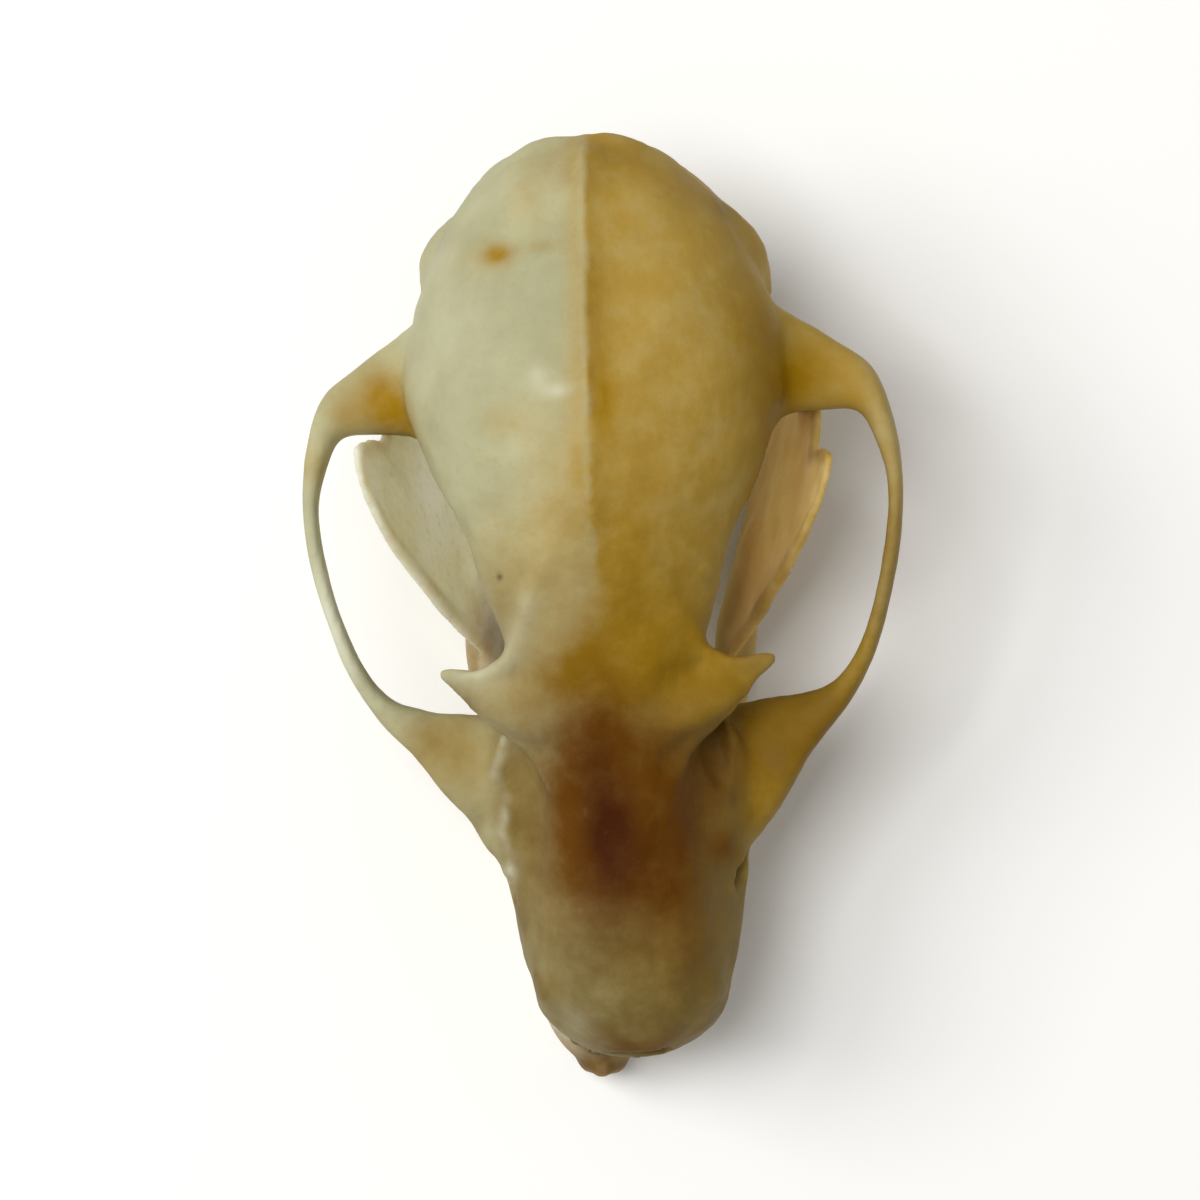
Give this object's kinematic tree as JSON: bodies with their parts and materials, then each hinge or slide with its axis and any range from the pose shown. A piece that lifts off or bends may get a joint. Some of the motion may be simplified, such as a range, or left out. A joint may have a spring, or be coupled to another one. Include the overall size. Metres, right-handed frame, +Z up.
{
  "type": "fruit bat skull",
  "caption": "Dry skull of a short-nosed fruit bat, cranium lying on its lower jaw, with thin bowed cheek arches, eye-socket points and a low crest.",
  "frame": {"origin": "on the floor, under the middle of the skull's box", "axes": "+Y towards the back of the skull, with the snout at -Y; +Z up; +X towards the animal's left"},
  "size_m": [0.0204, 0.0325, 0.0164],
  "materials": {
    "cranium_bone": "dry, slightly waxy bone, ivory on the vault and stained brown on the snout",
    "ear_bone": "dry matt bone",
    "jaw_bone": "dry bone with pale edges and glossy ivory teeth"
  },
  "bodies": {
    "root": {"braincase": "cranium_bone", "face": "cranium_bone", "cheek_arch_left_back": "cranium_bone", "cheek_arch_left_front": "cranium_bone", "cheek_arch_right_back": "cranium_bone", "cheek_arch_right_front": "cranium_bone", "ear_ring_left": "ear_bone", "ear_ring_right": "ear_bone", "jaw_left": "jaw_bone", "jaw_right": "jaw_bone"}
  },
  "joints": []
}
